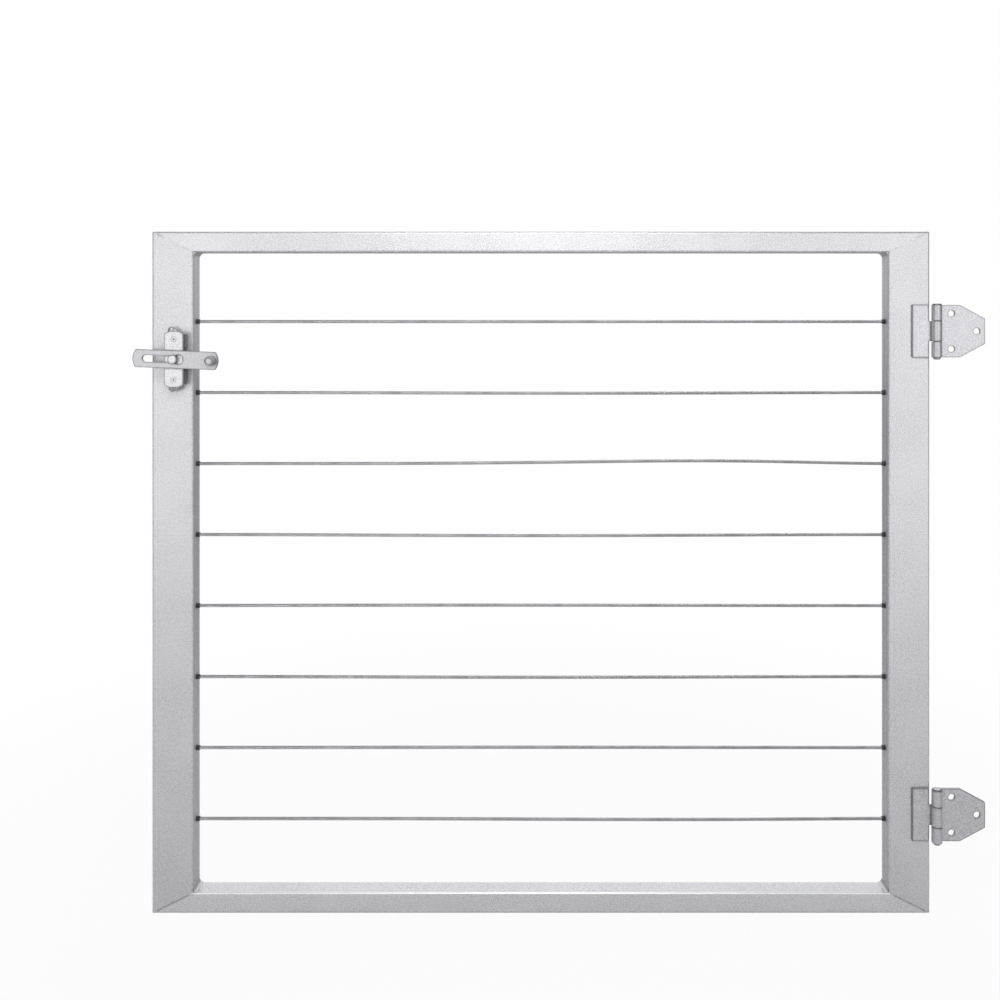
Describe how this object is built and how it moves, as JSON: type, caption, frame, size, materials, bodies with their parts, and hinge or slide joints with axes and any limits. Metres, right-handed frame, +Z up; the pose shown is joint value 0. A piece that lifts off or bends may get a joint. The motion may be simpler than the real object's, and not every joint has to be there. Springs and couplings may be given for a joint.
{
  "type": "cable railing gate",
  "caption": "Metal gate with a mitred tube frame, taut horizontal wire ropes, butt hinges with drilled post leaves and a slotted sliding latch bar.",
  "frame": {"origin": "on the lower post leaf's back face, midway between its two inner screw holes", "axes": "+X from the latch side to the hinge side, +Z up, -Y is the gate's front"},
  "size_m": [1.039, 0.0558, 0.8382],
  "materials": {
    "silver_powder_coat": "fine-textured metallic powder coat",
    "silver_coated_plate": "fine-textured metallic powder coat on plate",
    "coated_pin": "thin metallic powder coat over a turned pin",
    "coated_weld": "powder coat over rough weld metal",
    "wire_rope": "stranded stainless wire",
    "bright_steel": "turned stainless steel",
    "black_plastic": "matte moulded",
    "grey_plastic": "matte moulded"
  },
  "bodies": {
    "post_leaves": {"lower_post_leaf": "silver_coated_plate", "upper_post_leaf": "silver_coated_plate", "lower_hinge_pin": "coated_pin", "upper_hinge_pin": "coated_pin"},
    "gate": {"bottom_rail": "silver_powder_coat", "hinge_side_bushes": "black_plastic", "hinge_side_plugs": "grey_plastic", "hinge_stile": "silver_powder_coat", "latch_base_plate": "silver_coated_plate", "latch_screws": "silver_coated_plate", "latch_side_bushes": "black_plastic", "latch_side_plugs": "grey_plastic", "latch_stile": "silver_powder_coat", "lower_gate_leaf": "silver_coated_plate", "lower_standoff": "silver_coated_plate", "lower_weld_bead": "coated_weld", "rope_1": "wire_rope", "rope_2": "wire_rope", "rope_3": "wire_rope", "rope_4": "wire_rope", "rope_5": "wire_rope", "rope_6": "wire_rope", "rope_7": "wire_rope", "rope_8": "wire_rope", "rope_stops": "bright_steel", "stop_washers": "bright_steel", "tension_nuts": "bright_steel", "tension_terminals": "bright_steel", "tension_washers": "bright_steel", "top_rail": "silver_powder_coat", "upper_gate_leaf": "silver_coated_plate", "upper_standoff": "silver_coated_plate", "upper_weld_bead": "coated_weld"},
    "latch_stud": {"latch_stud": "silver_coated_plate", "stud_spring_washer": "bright_steel", "stud_tail_washer": "bright_steel", "stud_lock_nut": "bright_steel"},
    "latch_bar": {"latch_bar": "silver_coated_plate", "latch_knob": "silver_coated_plate"}
  },
  "joints": [
    {"name": "gate_swing", "type": "hinge", "parent": "post_leaves", "child": "gate", "pos_m": [-0.0192, -0.0062, 0.2966], "axis": [0, 0, 1], "range_deg": [0, 175]},
    {"name": "latch_swivel", "type": "hinge", "parent": "gate", "child": "latch_stud", "pos_m": [-0.9491, -0.017, 0.559], "axis": [0, 1, 0], "continuous": true},
    {"name": "latch_slide", "type": "slide", "parent": "latch_stud", "child": "latch_bar", "axis": [0.9993, 0, -0.0384], "range_m": [-0.008, 0.033]}
  ]
}
